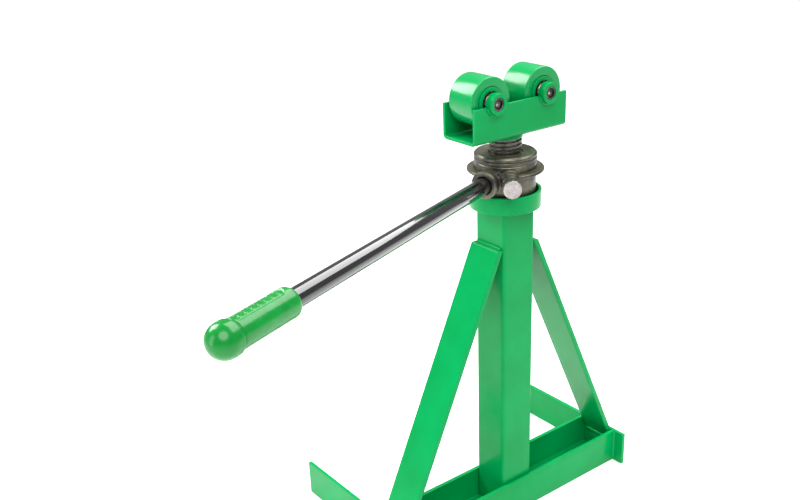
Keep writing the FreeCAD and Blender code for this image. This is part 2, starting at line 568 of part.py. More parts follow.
def pawl():
    """A sprung plunger with a bevelled tip, pulled and turned over by its knob."""
    height = "%s + Sizes.pawl_height" % RIM
    tip = "(%s + Sizes.tip_clearance)" % WHEEL_ROOT
    piston, rod = "Sizes.piston_radius", "Sizes.rod_radius"
    rod_end = "(%s + Sizes.rod_in_knob)" % KNOB_BACK
    plunger = turned("plunger_turned", (
        ("0", tip), ("Sizes.tip_radius", tip), ("Sizes.tip_radius", PISTON_START),
        (piston, PISTON_START), (piston, PISTON_END), (rod, PISTON_END),
        (rod, rod_end), ("0", rod_end)), height, "pawl_azimuth")
    sub_parts.remove(plunger)
    pin_hole = knob_pin_shape("plunger_pin_hole")
    bevel = doc.addObject("Part::Box", "tip_bevel")
    bevel.Placement.Rotation = FreeCAD.Rotation(size("pawl_azimuth") + size("tip_bevel"), 0, 0)
    tip_place = tip + " * %s(Sizes.pawl_azimuth * 1 deg)"
    bind(bevel, Length="4 * Sizes.tip_radius", Width="2 * Sizes.tip_radius",
         Height="4 * Sizes.tip_radius", Placement_Base_x=tip_place % "cos",
         Placement_Base_y=tip_place % "sin",
         Placement_Base_z="%s - 2 * Sizes.tip_radius" % height)
    sub_part(cut("plunger_cut", plunger, [pin_hole, bevel]), "pawl_plunger")

    turned("pawl_barrel_cap", (
        (rod + " + Sizes.slide_fit", PLUG_START), (piston, PLUG_START),
        (piston, BARREL_REACH), ("Sizes.barrel_radius", BARREL_REACH),
        ("Sizes.barrel_radius", CAP_FACE), (rod + " + Sizes.slide_fit", CAP_FACE)),
        height, "pawl_azimuth")
    turned("spring_washer", ring_corners(
        rod + " + Sizes.slide_fit", piston, PISTON_END,
        "%s + Sizes.washer_height" % PISTON_END), height, "pawl_azimuth")

    neck_start = "(%s + Sizes.knob_lift)" % CAP_FACE
    knob = turned("knob_turned", (
        (rod, neck_start), ("Sizes.knob_neck", neck_start), ("Sizes.knob_neck", KNOB_BACK),
        ("Sizes.knob_radius", KNOB_BACK),
        ("Sizes.knob_radius", "%s + Sizes.knob_length" % KNOB_BACK),
        ("0", "%s + Sizes.knob_length" % KNOB_BACK), ("0", rod_end), (rod, rod_end)),
        height, "pawl_azimuth")
    sub_parts.remove(knob)
    sub_part(cut("knob_cut", knob, [knob_pin_shape("knob_pin_hole")]), "pawl_knob")
    sub_part(knob_pin_shape("knob_pin"), "knob_pin")
    pawl_spring(height)


def knob_pin_shape(name):
    """An upright pin through the knob and the plunger's rod."""
    reach = "(%s + Sizes.rod_in_knob / 2) * %%s(Sizes.pawl_azimuth * 1 deg)" % KNOB_BACK
    half = "(Sizes.knob_radius - Sizes.pin_inset)"
    pin = upright_cylinder(name, "Sizes.pin_radius",
                           "%s + Sizes.pawl_height - %s" % (RIM, half), "2 * %s" % half)
    return bind(pin, Placement_Base_x=reach % "cos", Placement_Base_y=reach % "sin")


def pawl_spring(height):
    """A coil between the washer and the cap's plug, round the rod."""
    room = worth(PLUG_START) - worth(PISTON_END) - size("washer_height")
    wire, turns = size("spring_wire"), size("spring_turns")
    mean = (size("rod_radius") + size("piston_radius")) / 2
    length = room - 2 * (wire + size("spring_gap"))
    helix = Part.makeHelix(length / turns, length, mean)
    section = Part.Wire(Part.makeCircle(
        wire, FreeCAD.Vector(mean, 0, 0), FreeCAD.Vector(0, 1, length / turns / mean / 6)))
    coil = Part.Wire(helix.Edges).makePipeShell([section], True, True)
    spring = shaped("pawl_spring", coil)
    spring.Placement.Rotation = FreeCAD.Rotation(size("pawl_azimuth"), 90, 0)
    start = "(%s + Sizes.washer_height + Sizes.spring_wire + Sizes.spring_gap)" % PISTON_END
    along = start + " * %s(Sizes.pawl_azimuth * 1 deg)"
    bind(spring, Placement_Base_x=along % "cos", Placement_Base_y=along % "sin",
         Placement_Base_z=height)


# ---------------------------------------------------------------- lifting screw

def thread_profile(root, crest, bottom, top, pitch):
    """Corners of a run of trapezoid threads, from the bottom up."""
    flank = (crest - root) * math.tan(math.radians(size("thread_flank")))
    land = pitch / 2 - flank
    corners = []
    level = bottom
    while level + pitch < top:
        corners += [(crest, level), (crest, level + land), (root, level + land + flank),
                    (root, level + 2 * land + flank)]
        level += pitch
    return corners + [(crest, level), (crest, top)]


def lift_screw():
    """The lifting screw. Its thread is a run of rings of the real section and pitch."""
    length = worth(HUB_BASE) - worth(STOP_TOP)
    crest = size("screw_radius")
    corners = thread_profile(crest - size("thread_depth"), crest, 0, length,
                             size("thread_pitch"))
    bore, deep = size("stop_bolt_radius"), size("stop_bolt_shank") - size("stop_thick")
    outline_points = [(bore, 0)] + corners + [(0, length), (0, deep), (bore, deep), (bore, 0)]
    face = Part.Face(Part.makePolygon([FreeCAD.Vector(r, 0, z) for r, z in outline_points]))
    solid = face.revolve(FreeCAD.Vector(0, 0, 0), FreeCAD.Vector(0, 0, 1), 360)
    shaped("lift_screw", solid, Placement_Base_z=STOP_TOP)


def screw_stop():
    """A square block that slides in the post. It keeps the screw from turning and stops it under
    the collar's plate. A bolt holds it on the screw's end."""
    half = "(%s - Sizes.stop_clearance)" % POST_INSIDE
    corner = "(%s - Sizes.stop_corner)" % half
    spots = ((half, corner), (corner, half), ("-" + corner, half), ("-" + half, corner),
             ("-" + half, "-" + corner), ("-" + corner, "-" + half), (corner, "-" + half),
             (half, "-" + corner))
    stop = padded("stop_block_pad", "XY_Plane", spots, "Sizes.stop_thick")
    bind(stop, Placement_Base_z="%s - Sizes.stop_thick / 2" % STOP_TOP)
    sub_parts.remove(stop)
    hole = upright_cylinder("stop_hole", "Sizes.stop_bolt_radius", STOP_BASE, "Sizes.stop_thick")
    sub_part(cut("stop_block_cut", stop, [hole]), "stop_block")
    head = doc.addObject("Part::Prism", "stop_bolt_hexagon")
    head.Polygon = 6
    bind(head, Circumradius="Sizes.stop_bolt_corner", Height="Sizes.stop_bolt_head",
         Placement_Base_z="%s - Sizes.stop_bolt_head" % STOP_BASE)
    shank = upright_cylinder("stop_bolt_shank_round", "Sizes.stop_bolt_radius", STOP_BASE,
                             "Sizes.stop_bolt_shank")
    sub_part(fused("stop_bolt_whole", [head, shank]), "stop_bolt")


# ---------------------------------------------------------------- yoke and rollers

def yoke():
    """A plate bent to a trough, notched at its top edges for the four axle bosses."""
    half, inside = HALF_YOKE, YOKE_INSIDE
    top = "Sizes.yoke_height"
    bend, inner_bend = "Sizes.yoke_bend", "(Sizes.yoke_bend - Sizes.yoke_wall)"
    trough = padded("yoke_trough", "YZ_Plane", (
        ("-" + half, "0"), (half, "0"), (half, top), (inside, top), (inside, "Sizes.yoke_wall"),
        ("-" + inside, "Sizes.yoke_wall"), ("-" + inside, top), ("-" + half, top)),
        "Sizes.yoke_length")
    bind(trough, Placement_Base_z=YOKE_BASE)
    sub_parts.remove(trough)
    doc.recompute()
    rounded = trough
    for name, height, radius in (("outer", 0.0, bend), ("inner", size("yoke_wall"), inner_bend)):
        before = trough.Tip
        rounding = trough.newObject("PartDesign::Fillet", "yoke_%s_bend" % name)
        rounding.Base = (before, long_edges(before.Shape, height))
        rounding.setExpression("Radius", radius)
        trough.Tip = rounding
        doc.recompute()
    notches = [
        cross_cylinder("yoke_notch_%d" % (side + 1), BOSS_RADIUS + " + Sizes.axle_fit",
                       "%d * Sizes.axle_half" % side, AXLE_Z,
                       "2 * (%s + Sizes.cut_over)" % HALF_YOKE)
        for side in (-1, 1)]
    sub_part(cut("yoke_notched", rounded, notches), "yoke")
    hub = "Sizes.screw_radius + Sizes.hub_rim"
    turned("yoke_hub", ring_corners("0", hub, "0", "Sizes.hub_height"), HUB_BASE)


def long_edges(shape, height):
    """The edges along X at a height, in the body's own frame."""
    near = size("slide_fit")
    names = []
    for number, edge in enumerate(shape.Edges, start=1):
        box = edge.BoundBox
        level = abs(box.ZMin - height) < near and abs(box.ZMax - height) < near
        if level and box.XLength > box.YLength:
            names.append("Edge%d" % number)
    return names


def across(label, corners, x, facing):
    """A turned piece whose axis runs across the yoke, its far end facing +Y or -Y."""
    piece = turned(label, corners, AXLE_Z)
    piece.Placement.Rotation = FreeCAD.Rotation(0, 0, -90 * facing)
    return bind(piece, Placement_Base_x=x)


def axle_boss(label, x, facing):
    """A short tube welded in a notch, with a groove inside for the snap ring."""
    groove = "(%s + Sizes.snap_depth)" % AXLE_BORE
    groove_end = "(%s + Sizes.snap_thick)" % SNAP_PLACE
    across(label, (
        (AXLE_BORE, YOKE_INSIDE), (BOSS_RADIUS, YOKE_INSIDE), (BOSS_RADIUS, BOSS_FACE),
        (AXLE_BORE, BOSS_FACE), (AXLE_BORE, groove_end), (groove, groove_end),
        (groove, SNAP_PLACE), (AXLE_BORE, SNAP_PLACE)), x, facing)


def pair(label, corners, x):
    """Two equal turned pieces, facing +Y and -Y, in one sub-part."""
    ends = [across("%s_%s" % (label, name), corners, x, facing)
            for name, facing in (("back", 1), ("front", -1))]
    for end in ends:
        sub_parts.remove(end)
    group = doc.addObject("Part::Compound", label + "_pair")
    group.Links = ends
    return sub_part(group, label)


def roller(side_name, side):
    """A roller on two ball bearings, its axle, and the pieces that hold the axle."""
    x = "%d * Sizes.axle_half" % side
    name = side_name + "_roller"
    half = "(Sizes.roller_length / 2)"
    seat = "(%s - Sizes.cup_depth)" % half
    cup_face, race_face = "(%s + Sizes.cup_proud)" % half, "(%s + Sizes.race_proud)" % half
    edge, radius = "Sizes.roller_edge", "Sizes.roller_radius"
    shoulder = "(%s - Sizes.roller_shoulder)" % CUP_RADIUS
    across(name + "_shell", (
        (shoulder, "-" + seat), (CUP_RADIUS, "-" + seat),
        (CUP_RADIUS, "-" + half), ("%s - %s" % (radius, edge), "-" + half),
        (radius, "-(%s - %s)" % (half, edge)), (radius, "%s - %s" % (half, edge)),
        ("%s - %s" % (radius, edge), half), (CUP_RADIUS, half),
        (CUP_RADIUS, seat), (shoulder, seat)), x, 1)

    lip = "(%s - Sizes.cup_lip)" % CUP_RADIUS
    lip_start = "(%s - Sizes.cup_lip_thick)" % cup_face
    ball_y = "(%s - Sizes.ball_inset)" % half
    groove = "Sizes.bearing_ball + Sizes.ball_fit"
    cups = pair(name + "_cup_blanks", (
        (CUP_BORE, seat), (CUP_RADIUS, seat), (CUP_RADIUS, cup_face),
        (lip, cup_face), (lip, lip_start), (CUP_BORE, lip_start)), x)
    races = pair(name + "_race_blanks", ring_corners(
        AXLE_BORE, RACE_RADIUS, seat, race_face), x)
    for blanks, label in ((cups, "_bearing_cups"), (races, "_inner_races")):
        sub_parts.remove(blanks)
        grooves = []
        for facing in (-1, 1):
            ring = doc.addObject("Part::Torus", "%s%s_groove_%d" % (name, label, facing + 1))
            ring.Placement.Rotation = FreeCAD.Rotation(0, 0, -90)
            bind(ring, Radius1=BEARING_CIRCLE, Radius2=groove, Placement_Base_x=x,
                 Placement_Base_y="%d * %s" % (facing, ball_y), Placement_Base_z=AXLE_Z)
            grooves.append(ring)
        sub_part(cut(name + label + "_cut", blanks, grooves), name + label)

    inset = size("roller_length") / 2 - size("ball_inset")
    ring_of_balls = ball_ring(
        size("bearing_ball"), worth(BEARING_CIRCLE), int(size("bearing_ball_count")))
    balls = []
    for facing in (-1, 1):
        for ball in ring_of_balls:
            balls.append(ball.translated(FreeCAD.Vector(0, 0, facing * inset)))
    group = shaped(name + "_balls", Part.makeCompound(balls))
    group.Placement.Rotation = FreeCAD.Rotation(0, 0, -90)
    bind(group, Placement_Base_x=x, Placement_Base_z=AXLE_Z)

    pair(name + "_spacers", ring_corners(
        AXLE_BORE, "Sizes.axle_radius + Sizes.spacer_wall", race_face, YOKE_INSIDE), x)
    axle_end = "(%s - Sizes.axle_recess)" % BOSS_FACE
    dimple = "Sizes.axle_dimple"
    across(side_name + "_axle", (
        ("0", "-(%s - %s)" % (axle_end, dimple)), (dimple, "-" + axle_end),
        ("Sizes.axle_radius", "-" + axle_end), ("Sizes.axle_radius", axle_end),
        (dimple, axle_end), ("0", "(%s - %s)" % (axle_end, dimple))), x, 1)
    outer = "(%s + Sizes.snap_depth - Sizes.axle_fit)" % AXLE_BORE
    pair(side_name + "_snap_rings", ring_corners(
        "(%s - Sizes.snap_width)" % AXLE_BORE, outer, SNAP_PLACE,
        "(%s + Sizes.snap_thick - Sizes.axle_fit)" % SNAP_PLACE), x)
    for end_name, facing in (("front", -1), ("back", 1)):
        axle_boss("%s_%s_boss" % (side_name, end_name), x, facing)


base_channel()
post()
collar()
thrust_bearing()
base_welds()
post_welds()
lift_nut()
nut_cap()
ratchet_wheel()
nut_fittings()
ratchet_housing()
handle()
pawl()
lift_screw()
screw_stop()
yoke()
for side_name, side in (("left", -1), ("right", 1)):
    crossbar(side_name + "_crossbar", side)
    brace(side_name + "_brace", side)
    roller(side_name, side)

doc.recompute()
for shape_object in doc.Objects:
    if "Invalid" in shape_object.State or "Error" in shape_object.State:
        raise RuntimeError("%s did not rebuild" % shape_object.Label)
for piece in sub_parts:
    if piece.Shape.isNull() or not piece.Shape.isValid():
        raise RuntimeError("%s has no valid shape" % piece.Label)
    piece.Shape.exportStep("parts/%s.step" % piece.Label)
print("%d sub-parts" % len(sub_parts))
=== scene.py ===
import json
import math
import random

import bmesh
import bpy
from mathutils import Matrix, Vector


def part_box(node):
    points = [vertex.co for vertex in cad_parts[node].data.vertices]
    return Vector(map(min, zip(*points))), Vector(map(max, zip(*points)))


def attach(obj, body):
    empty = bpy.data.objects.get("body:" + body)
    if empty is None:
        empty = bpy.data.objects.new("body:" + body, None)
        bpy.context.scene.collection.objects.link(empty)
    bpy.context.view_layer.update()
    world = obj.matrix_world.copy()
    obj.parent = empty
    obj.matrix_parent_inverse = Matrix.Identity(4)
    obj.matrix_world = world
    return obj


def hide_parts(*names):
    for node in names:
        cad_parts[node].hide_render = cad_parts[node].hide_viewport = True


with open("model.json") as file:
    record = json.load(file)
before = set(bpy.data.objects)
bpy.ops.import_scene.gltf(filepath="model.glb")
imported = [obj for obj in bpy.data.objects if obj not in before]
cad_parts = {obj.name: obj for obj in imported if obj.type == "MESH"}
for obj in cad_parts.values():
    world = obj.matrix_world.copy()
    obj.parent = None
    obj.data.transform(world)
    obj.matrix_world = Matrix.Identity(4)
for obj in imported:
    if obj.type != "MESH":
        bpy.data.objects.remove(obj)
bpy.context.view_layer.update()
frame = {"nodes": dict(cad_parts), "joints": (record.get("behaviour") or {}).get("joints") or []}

# A ratcheting screw jack stand for cable reels, seen as new: glossy green enamel over welded
# steel, an oiled black casting round the screw, a gloss black handle and a green vinyl grip.
# Lengths are metres. MM turns the millimetres that the small details are given in to metres.

MM = 0.001
joints = {joint["name"]: joint for joint in frame["joints"]}

POST_LOW, POST_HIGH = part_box("post")
POST_CORNER = 5 * MM
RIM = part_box("collar_ring")[1].z
UP = Vector((0, 0, 1))
AXIS = Vector((0, 0, RIM))


# ------------------------------------------------------------------ outlines

def soften(corners, radius, steps=4):
    """Rounds the corners of a closed outline. Corners on the axis of a lathe stay sharp."""
    count = len(corners)
    result = []
    for i, corner in enumerate(corners):
        here = Vector(corner)
        back = Vector(corners[i - 1]) - here
        on = Vector(corners[(i + 1) % count]) - here
        turn = back.angle(on, math.pi)
        if abs(here.x) < 1e-7 or turn > math.radians(170):
            result.append(here)
            continue
        reach = min(radius / math.tan(turn / 2), 0.45 * back.length, 0.45 * on.length)
        bend = reach * math.tan(turn / 2)
        start, end = here + back.normalized() * reach, here + on.normalized() * reach
        middle = here + (back.normalized() + on.normalized()).normalized() * (
            bend / math.sin(turn / 2))
        for k in range(steps + 1):
            spoke = (start - middle).slerp(end - middle, k / steps).normalized()
            result.append(middle + spoke * bend)
    return result


def in_mm(corners):
    """Turns an outline given in millimetres to metres."""
    return [(first * MM, second * MM) for first, second in corners]


def ring_outline(inner, outer, bottom, top):
    return [(inner, bottom), (outer, bottom), (outer, top), (inner, top)]


# ------------------------------------------------------------------ meshes

def finish_mesh(bm, name, sharp_angle=38):
    bmesh.ops.remove_doubles(bm, verts=bm.verts, dist=1e-7)
    bmesh.ops.dissolve_degenerate(bm, edges=bm.edges, dist=1e-7)
    bmesh.ops.recalc_face_normals(bm, faces=bm.faces)
    mesh = bpy.data.meshes.new(name)
    bm.to_mesh(mesh)
    bm.free()
    mesh.polygons.foreach_set("use_smooth", [True] * len(mesh.polygons))
    mesh.set_sharp_from_angle(angle=math.radians(sharp_angle))
    return mesh


def add_piece(name, mesh, material, body, nodes=(), bevel=0.0):
    """Puts a mesh in the scene on its body, standing for CAD nodes."""
    piece = bpy.data.objects.new(name, mesh)
    bpy.context.scene.collection.objects.link(piece)
    mesh.materials.append(material)
    if bevel:
        rounding = piece.modifiers.new("edges", "BEVEL")
        rounding.width = bevel
        rounding.segments = 3
        rounding.limit_method = "ANGLE"
        rounding.angle_limit = math.radians(38)
        rounding.harden_normals = False
        piece.modifiers.new("flats", "WEIGHTED_NORMAL")
    if nodes:
        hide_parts(*nodes)
    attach(piece, body)
    return piece


def grid_faces(bm, rows, closed_rows=True, closed_columns=True):
    """Quads between rows of vertices."""
    count = len(rows)
    for i in range(count if closed_rows else count - 1):
        first, second = rows[i], rows[(i + 1) % count]
        width = len(first)
        for k in range(width if closed_columns else width - 1):
            quad = [first[k], first[(k + 1) % width], second[(k + 1) % width], second[k]]
            if len(set(quad)) == 4:
                bm.faces.new(quad)


def axis_matrix(origin, direction):
    """A frame whose Z runs along the direction."""
    return Matrix.Translation(origin) @ direction.to_track_quat("Z", "Y").to_matrix().to_4x4()


def lathe_into(bm, outline, origin, direction, segments=96):
    """Turns a closed outline of (radius, along) about an axis."""
    place = axis_matrix(origin, direction)
    rows = []
    for radius, along in outline:
        row = []
        for k in range(segments):
            angle = 2 * math.pi * k / segments
            spot = Vector((radius * math.cos(angle), radius * math.sin(angle), along))
            row.append(bm.verts.new(place @ spot))
        rows.append(row)
    grid_faces(bm, rows)


def lathe(name, outline, origin, direction, segments=96, sharp_angle=38):
    bm = bmesh.new()
    lathe_into(bm, outline, origin, direction, segments)
    return finish_mesh(bm, name, sharp_angle)


def prism_into(bm, outline, place, length, hole=None):
    """A solid of constant section along the frame's Z, with an optional hole of equal count."""
    ends = []
    for along in (0.0, length):
        ends.append([bm.verts.new(place @ Vector((p[0], p[1], along))) for p in outline])
    grid_faces(bm, ends, closed_rows=False)
    if hole is None:
        bm.faces.new(ends[0])
        bm.faces.new(ends[1])
        return
    inner = []
    for along in (0.0, length):
        inner.append([bm.verts.new(place @ Vector((p[0], p[1], along))) for p in hole])
    grid_faces(bm, inner, closed_rows=False)
    for outer_end, inner_end in zip(ends, inner):
        grid_faces(bm, [outer_end, inner_end], closed_rows=False)


def prism(name, outline, place, length, hole=None):
    bm = bmesh.new()
    prism_into(bm, outline, place, length, hole)
    return finish_mesh(bm, name)


def bead_into(bm, path, radius, seed, ripple=2.6 * MM):
    """A weld bead along a path: a tube half sunk in the corner, rippled like stacked coins."""
    rng = random.Random(seed)
    spots, walked = [path[0]], [0.0]
    total = sum((b - a).length for a, b in zip(path, path[1:]))
    step = ripple / 5
    for a, b in zip(path, path[1:]):
        pieces = max(1, round((b - a).length / step))
        for k in range(1, pieces + 1):
            spots.append(a.lerp(b, k / pieces))
            walked.append(walked[-1] + (b - a).length / pieces)
    rows = []
    side_count = 14
    wobble = rng.random()
    for i, (spot, distance) in enumerate(zip(spots, walked)):
        ahead = (spots[min(i + 1, len(spots) - 1)] - spots[max(i - 1, 0)]).normalized()
        phase = (distance / ripple + wobble) % 1.0
        if phase < 0.2:
            wobble += rng.uniform(-0.004, 0.004)
        swell = 0.84 + 0.16 * math.sin(math.pi * phase) ** 0.6
        end_taper = min(1.0, (distance + 0.4 * radius) / radius,
                        (total - distance + 0.4 * radius) / radius)
        size = radius * swell * math.sqrt(max(end_taper, 0.1))
        across = ahead.orthogonal().normalized()
        other = ahead.cross(across)
        row = []
        for k in range(side_count):
            angle = 2 * math.pi * k / side_count
            row.append(bm.verts.new(
                spot + across * size * math.cos(angle) + other * size * math.sin(angle)))
        rows.append(row)
    grid_faces(bm, rows, closed_rows=False)
    bm.faces.new(rows[0])
    bm.faces.new(rows[-1])


def bead_piece(name, paths, radius, material, body, nodes=()):
    bm = bmesh.new()
    for seed, path in enumerate(paths):
        bead_into(bm, path, radius, seed)
    return add_piece(name, finish_mesh(bm, name, 60), material, body, nodes)


# ------------------------------------------------------------------ materials

def shader(name):
    material = bpy.data.materials.new(name)
    material.use_nodes = True
    tree = material.node_tree
    return material, tree, tree.nodes["Principled BSDF"]


def link(tree, output, socket):
    tree.links.new(output, socket)


def add_node(tree, kind, **settings):
    node = tree.nodes.new(kind)
    for key, value in settings.items():
        setattr(node, key, value)
    return node


def noise(tree, scale, detail=3.0, roughness=0.55):
    """Noise in the object's own coordinates, per metre. Returns its 0 to 1 value."""
    coordinates = add_node(tree, "ShaderNodeTexCoord").outputs["Object"]
    texture = add_node(tree, "ShaderNodeTexNoise")
    texture.inputs["Scale"].default_value = scale
    texture.inputs["Detail"].default_value = detail
    texture.inputs["Roughness"].default_value = roughness
    link(tree, coordinates, texture.inputs["Vector"])
    return texture.outputs["Fac"]


def remap(tree, value, low, high, to_low, to_high):
    node = add_node(tree, "ShaderNodeMapRange")
    node.inputs["From Min"].default_value = low
    node.inputs["From Max"].default_value = high
    node.inputs["To Min"].default_value = to_low
    node.inputs["To Max"].default_value = to_high
    link(tree, value, node.inputs["Value"])
    return node.outputs["Result"]


def mix_colours(tree, factor, first, second):
    """Mixes two colours, each a tuple or another node's output."""
    node = add_node(tree, "ShaderNodeMix", data_type="RGBA")
    link(tree, factor, node.inputs["Factor"])
    for value, socket in ((first, node.inputs[6]), (second, node.inputs[7])):
        if isinstance(value, tuple):
            socket.default_value = (*value, 1.0)
        else:
            link(tree, value, socket)
    return node.outputs[2]


# Gives the mask for the edges where a highlight is painted into the colour.
def edge_highlight_mask(tree, radius):
    """1 on sharp convex and concave edges, 0 on flats."""
    rounded = add_node(tree, "ShaderNodeBevel", samples=6)
    rounded.inputs["Radius"].default_value = radius
    plain = add_node(tree, "ShaderNodeNewGeometry")
    dot = add_node(tree, "ShaderNodeVectorMath", operation="DOT_PRODUCT")
    link(tree, rounded.outputs["Normal"], dot.inputs[0])
    link(tree, plain.outputs["Normal"], dot.inputs[1])
    return remap(tree, dot.outputs["Value"], 0.995, 0.86, 0.0, 1.0)


def bump(tree, surface, *layers):
    """Stacks bumps on the surface. Each layer is (height, distance, strength)."""
    normal = None
    for height, distance, strength in layers:
        node = add_node(tree, "ShaderNodeBump")
        node.inputs["Distance"].default_value = distance
        node.inputs["Strength"].default_value = strength
        link(tree, height, node.inputs["Height"])
        if normal is not None:
            link(tree, normal, node.inputs["Normal"])
        normal = node.outputs["Normal"]
    link(tree, normal, surface.inputs["Normal"])


def enamel(name, deep, light, edge, roughness=(0.15, 0.27), specular=0.11):
    """Sprayed gloss enamel on steel: orange peel, slow colour drift, dust, and a lighter green
    painted along the edges as highlight.
    """
    material, tree, surface = shader(name)
    drift = remap(tree, noise(tree, 11.0, 4.0), 0.32, 0.68, 0.0, 1.0)
    colour = mix_colours(tree, drift, deep, light)
    colour = mix_colours(tree, remap(tree, noise(tree, 900.0, 2.0), 0.63, 0.78, 0.0, 0.25),
                         colour, edge)
    # Painted highlight: the edges are mixed toward the lighter green, broken up by noise.
    edges = add_node(tree, "ShaderNodeMath", operation="MULTIPLY")
    link(tree, edge_highlight_mask(tree, 0.9 * MM), edges.inputs[0])
    link(tree, remap(tree, noise(tree, 130.0, 3.0), 0.38, 0.62, 0.15, 0.6), edges.inputs[1])
    colour = mix_colours(tree, edges.outputs["Value"], colour, edge)
    link(tree, colour, surface.inputs["Base Color"])
    link(tree, remap(tree, noise(tree, 26.0, 5.0), 0.3, 0.7, *roughness),
         surface.inputs["Roughness"])
    surface.inputs["Specular IOR Level"].default_value = specular
    bump(tree, surface, (noise(tree, 60.0, 2.0), 0.6 * MM, 0.05),
         (noise(tree, 620.0, 2.0), 0.12 * MM, 0.16))
    return material


def casting(name, dark, brown, roughness=(0.3, 0.52), grain=0.5, dust=(0.16, 0.15, 0.09)):
    """Cast or turned steel, blacked and oiled, with an olive film where the oil is thin, a lighter
    olive tone on what faces up that is dust and painted overhead light, and a painted highlight
    on the edges."""
    material, tree, surface = shader(name)
    film = remap(tree, noise(tree, 38.0, 5.0, 0.6), 0.4, 0.66, 0.0, 1.0)
    colour = mix_colours(tree, film, dark, brown)
    # Faces that point up are mixed toward a lighter olive: dust, and painted overhead light.
    facing = add_node(tree, "ShaderNodeSeparateXYZ")
    link(tree, add_node(tree, "ShaderNodeNewGeometry").outputs["Normal"], facing.inputs["Vector"])
    top_dust_and_light = add_node(tree, "ShaderNodeMath", operation="MULTIPLY")
    link(tree, remap(tree, facing.outputs["Z"], 0.75, 0.98, 0.0, 1.0), top_dust_and_light.inputs[0])
    link(tree, remap(tree, noise(tree, 70.0, 5.0), 0.35, 0.65, 0.35, 0.95), top_dust_and_light.inputs[1])
    colour = mix_colours(tree, top_dust_and_light.outputs["Value"], colour, dust)
    # Painted highlight: the edges are mixed toward a pale grey, broken up by noise.
    edges = add_node(tree, "ShaderNodeMath", operation="MULTIPLY")
    link(tree, edge_highlight_mask(tree, 1.3 * MM), edges.inputs[0])
    link(tree, remap(tree, noise(tree, 160.0, 3.0), 0.38, 0.56, 0.25, 1.0), edges.inputs[1])
    colour = mix_colours(tree, edges.outputs["Value"], colour, (0.5, 0.48, 0.43))
    link(tree, colour, surface.inputs["Base Color"])
    surface.inputs["Metallic"].default_value = 0.7
    link(tree, remap(tree, noise(tree, 85.0, 4.0), 0.3, 0.7, *roughness),
         surface.inputs["Roughness"])
    bump(tree, surface, (noise(tree, 240.0, 4.0), 0.35 * MM, grain),
         (noise(tree, 1100.0, 2.0), 0.08 * MM, 0.3))
    return material


def gloss_black(name):
    """High-gloss black on a drawn tube, with the tube's faint long draw lines."""
    material, tree, surface = shader(name)
    dust = remap(tree, noise(tree, 500.0, 3.0), 0.6, 0.8, 0.0, 0.35)
    link(tree, mix_colours(tree, dust, (0.006, 0.006, 0.007), (0.05, 0.045, 0.035)),
         surface.inputs["Base Color"])
    link(tree, remap(tree, noise(tree, 70.0, 4.0), 0.3, 0.7, 0.08, 0.17),
         surface.inputs["Roughness"])
    surface.inputs["Coat Weight"].default_value = 1.0
    surface.inputs["Coat Roughness"].default_value = 0.05
    bump(tree, surface, (noise(tree, 45.0, 2.0), 0.4 * MM, 0.05),
         (noise(tree, 700.0, 2.0), 0.08 * MM, 0.12))
    return material


def bright_steel(name, light, dark, roughness=(0.22, 0.4)):
    """Bare turned steel with fine tool marks and a slight stain."""
    material, tree, surface = shader(name)
    stain = remap(tree, noise(tree, 120.0, 5.0), 0.35, 0.7, 0.0, 1.0)
    link(tree, mix_colours(tree, stain, light, dark), surface.inputs["Base Color"])
    surface.inputs["Metallic"].default_value = 1.0
    link(tree, remap(tree, noise(tree, 300.0, 4.0), 0.3, 0.7, *roughness),
         surface.inputs["Roughness"])
    bump(tree, surface, (noise(tree, 1500.0, 2.0), 0.05 * MM, 0.35))
    return material


def vinyl(name, deep, light):
    """Gloss vinyl dip, smooth and slightly waxy."""
    material, tree, surface = shader(name)
    drift = remap(tree, noise(tree, 45.0, 4.0), 0.3, 0.7, 0.0, 1.0)
    link(tree, mix_colours(tree, drift, deep, light), surface.inputs["Base Color"])
    link(tree, remap(tree, noise(tree, 140.0, 4.0), 0.3, 0.7, 0.16, 0.28),
         surface.inputs["Roughness"])
    surface.inputs["Specular IOR Level"].default_value = 0.4
    surface.inputs["Subsurface Weight"].default_value = 0.04
    surface.inputs["Subsurface Radius"].default_value = (0.2 * MM, 1.0 * MM, 0.3 * MM)
    bump(tree, surface, (noise(tree, 90.0, 3.0), 0.5 * MM, 0.08),
         (noise(tree, 900.0, 2.0), 0.08 * MM, 0.15))
    return material


# The third colour is the lighter green painted on the edges as highlight.
PAINT = ((0.0, 0.222, 0.05), (0.0, 0.27, 0.068), (0.02, 0.45, 0.19))
GREEN = enamel("green_enamel", *PAINT)
DRUM = enamel("drum_enamel", *PAINT, specular=0.36)
GRIP = vinyl("green_vinyl", (0.0, 0.18, 0.02), (0.0, 0.24, 0.032))
BLACK = gloss_black("black_gloss")
CAST = casting("black_casting", (0.040, 0.039, 0.036), (0.13, 0.122, 0.09))
TURNED = casting("black_turned", (0.040, 0.040, 0.036), (0.14, 0.132, 0.085),
                 roughness=(0.26, 0.44), grain=0.12)
THREAD = casting("oiled_thread", (0.028, 0.028, 0.026), (0.09, 0.085, 0.065),
                 roughness=(0.24, 0.42), grain=0.15)
BRIGHT = bright_steel("turned_steel", (0.5, 0.46, 0.45), (0.34, 0.31, 0.3))
PINK = bright_steel("spacer_steel", (0.62, 0.48, 0.42), (0.5, 0.38, 0.33))
DARK = casting("dark_axle", (0.016, 0.015, 0.014), (0.05, 0.04, 0.03), grain=0.1)


# ------------------------------------------------------------------ welded base and post

